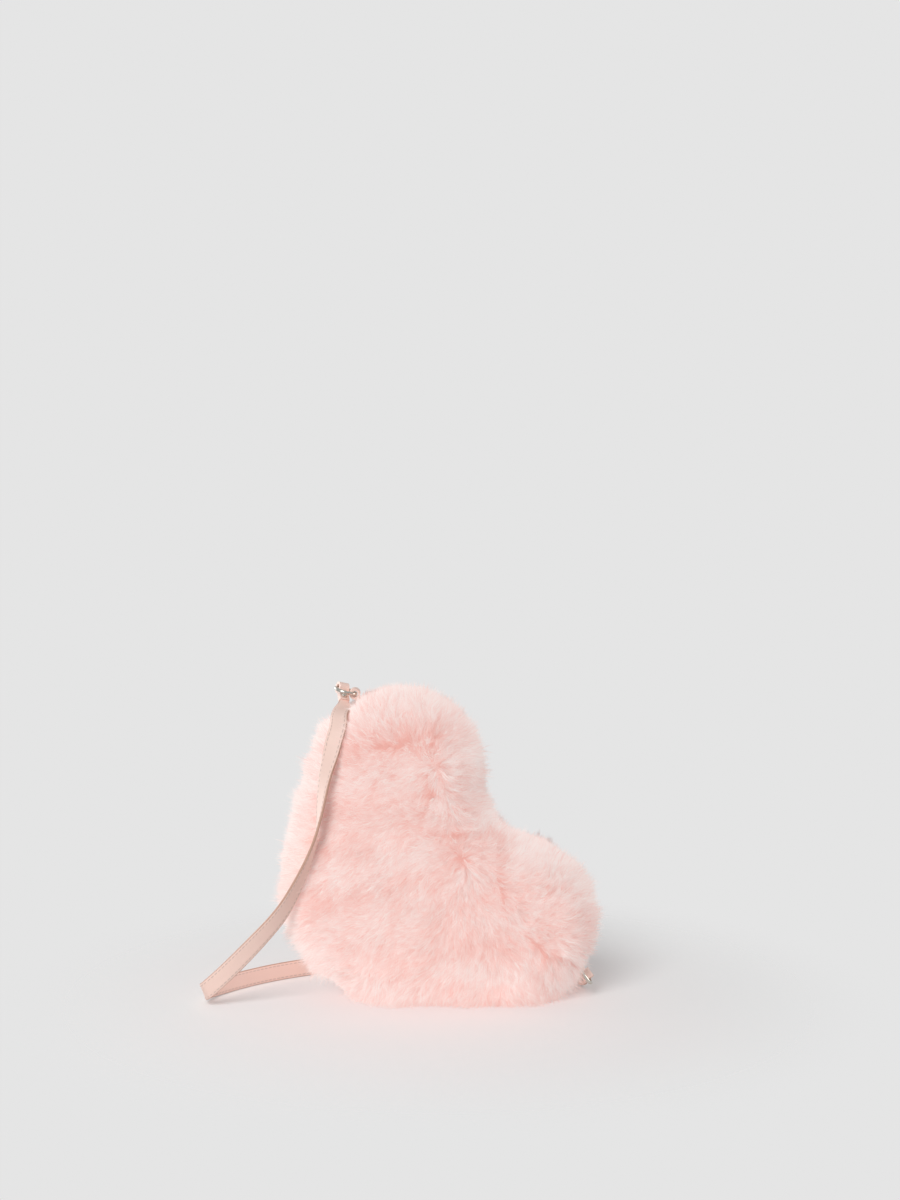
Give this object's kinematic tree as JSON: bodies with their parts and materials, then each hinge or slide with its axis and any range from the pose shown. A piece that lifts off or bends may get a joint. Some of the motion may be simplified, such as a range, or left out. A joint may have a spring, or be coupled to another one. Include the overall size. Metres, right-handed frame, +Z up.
{
  "type": "heart shaped purse",
  "caption": "Heart shaped fake fur shoulder purse standing on one flank, with a flat leather strap on wire rings and a zip across its back.",
  "frame": {"origin": "middle of the base of the purse's bounding box, the strap left out", "axes": "+Z up as the purse stands, +X to the right of the picture, +Y from the front face to the back face"},
  "size_m": [0.2328, 0.1129, 0.1882],
  "materials": {
    "fur": "long soft pile",
    "padding": "matt foam",
    "lining": "smooth woven",
    "tape": "ribbed woven",
    "leather": "fine grained, stitched",
    "metal": "polished"
  },
  "bodies": {
    "bag": {"front_fur_panel": "fur", "back_fur_panel": "fur", "fur_gusset": "fur", "front_padding": "padding", "back_padding": "padding", "front_lining": "lining", "back_lining": "lining", "zip_tape_upper": "tape", "zip_tape_lower": "tape", "zip_teeth_upper": "metal", "zip_teeth_lower": "metal", "zip_top_stops": "metal", "zip_bottom_stop": "metal", "upper_tab": "leather", "lower_tab": "leather", "shoulder_strap": "leather"},
    "slider": {"zip_slider": "metal"},
    "pull": {"zip_pull": "metal"},
    "upper_link": {"strap_upper_end": "leather", "upper_rivet_cap": "metal", "upper_rivet_base": "metal"},
    "upper_ring": {"upper_ring": "metal"},
    "lower_link": {"strap_lower_end": "leather", "lower_rivet_cap": "metal", "lower_rivet_base": "metal"},
    "lower_ring": {"lower_ring": "metal"}
  },
  "joints": [
    {"name": "zip_slide", "type": "slide", "parent": "bag", "child": "slider", "axis": [0.6, 0, -0.8], "range_m": [0, 0.0885], "deforming": ["zip_teeth_upper", "zip_teeth_lower"]},
    {"name": "pull_swing", "type": "hinge", "parent": "slider", "child": "pull", "pos_m": [-0.02728, 0.02965, 0.11954], "axis": [0.8, 0, 0.6], "range_deg": [0, 140]},
    {"name": "upper_ring_swing", "type": "hinge", "parent": "bag", "child": "upper_link", "pos_m": [-0.04897, 0, 0.18196], "axis": [0, 1, 0], "range_deg": [-20, 85], "deforming": ["shoulder_strap"]},
    {"name": "upper_ring_turn", "type": "hinge", "parent": "upper_link", "child": "upper_ring", "pos_m": [-0.05428, 0, 0.18348], "axis": [-0.2756, 0, -0.9613], "continuous": true},
    {"name": "lower_ring_swing", "type": "hinge", "parent": "bag", "child": "lower_link", "pos_m": [0.08291, 0, 0.01772], "axis": [0, 1, 0], "range_deg": [-60, 15], "deforming": ["shoulder_strap"]},
    {"name": "lower_ring_turn", "type": "hinge", "parent": "lower_link", "child": "lower_ring", "pos_m": [0.08623, 0, 0.01331], "axis": [0.7986, 0, 0.6018], "continuous": true}
  ]
}
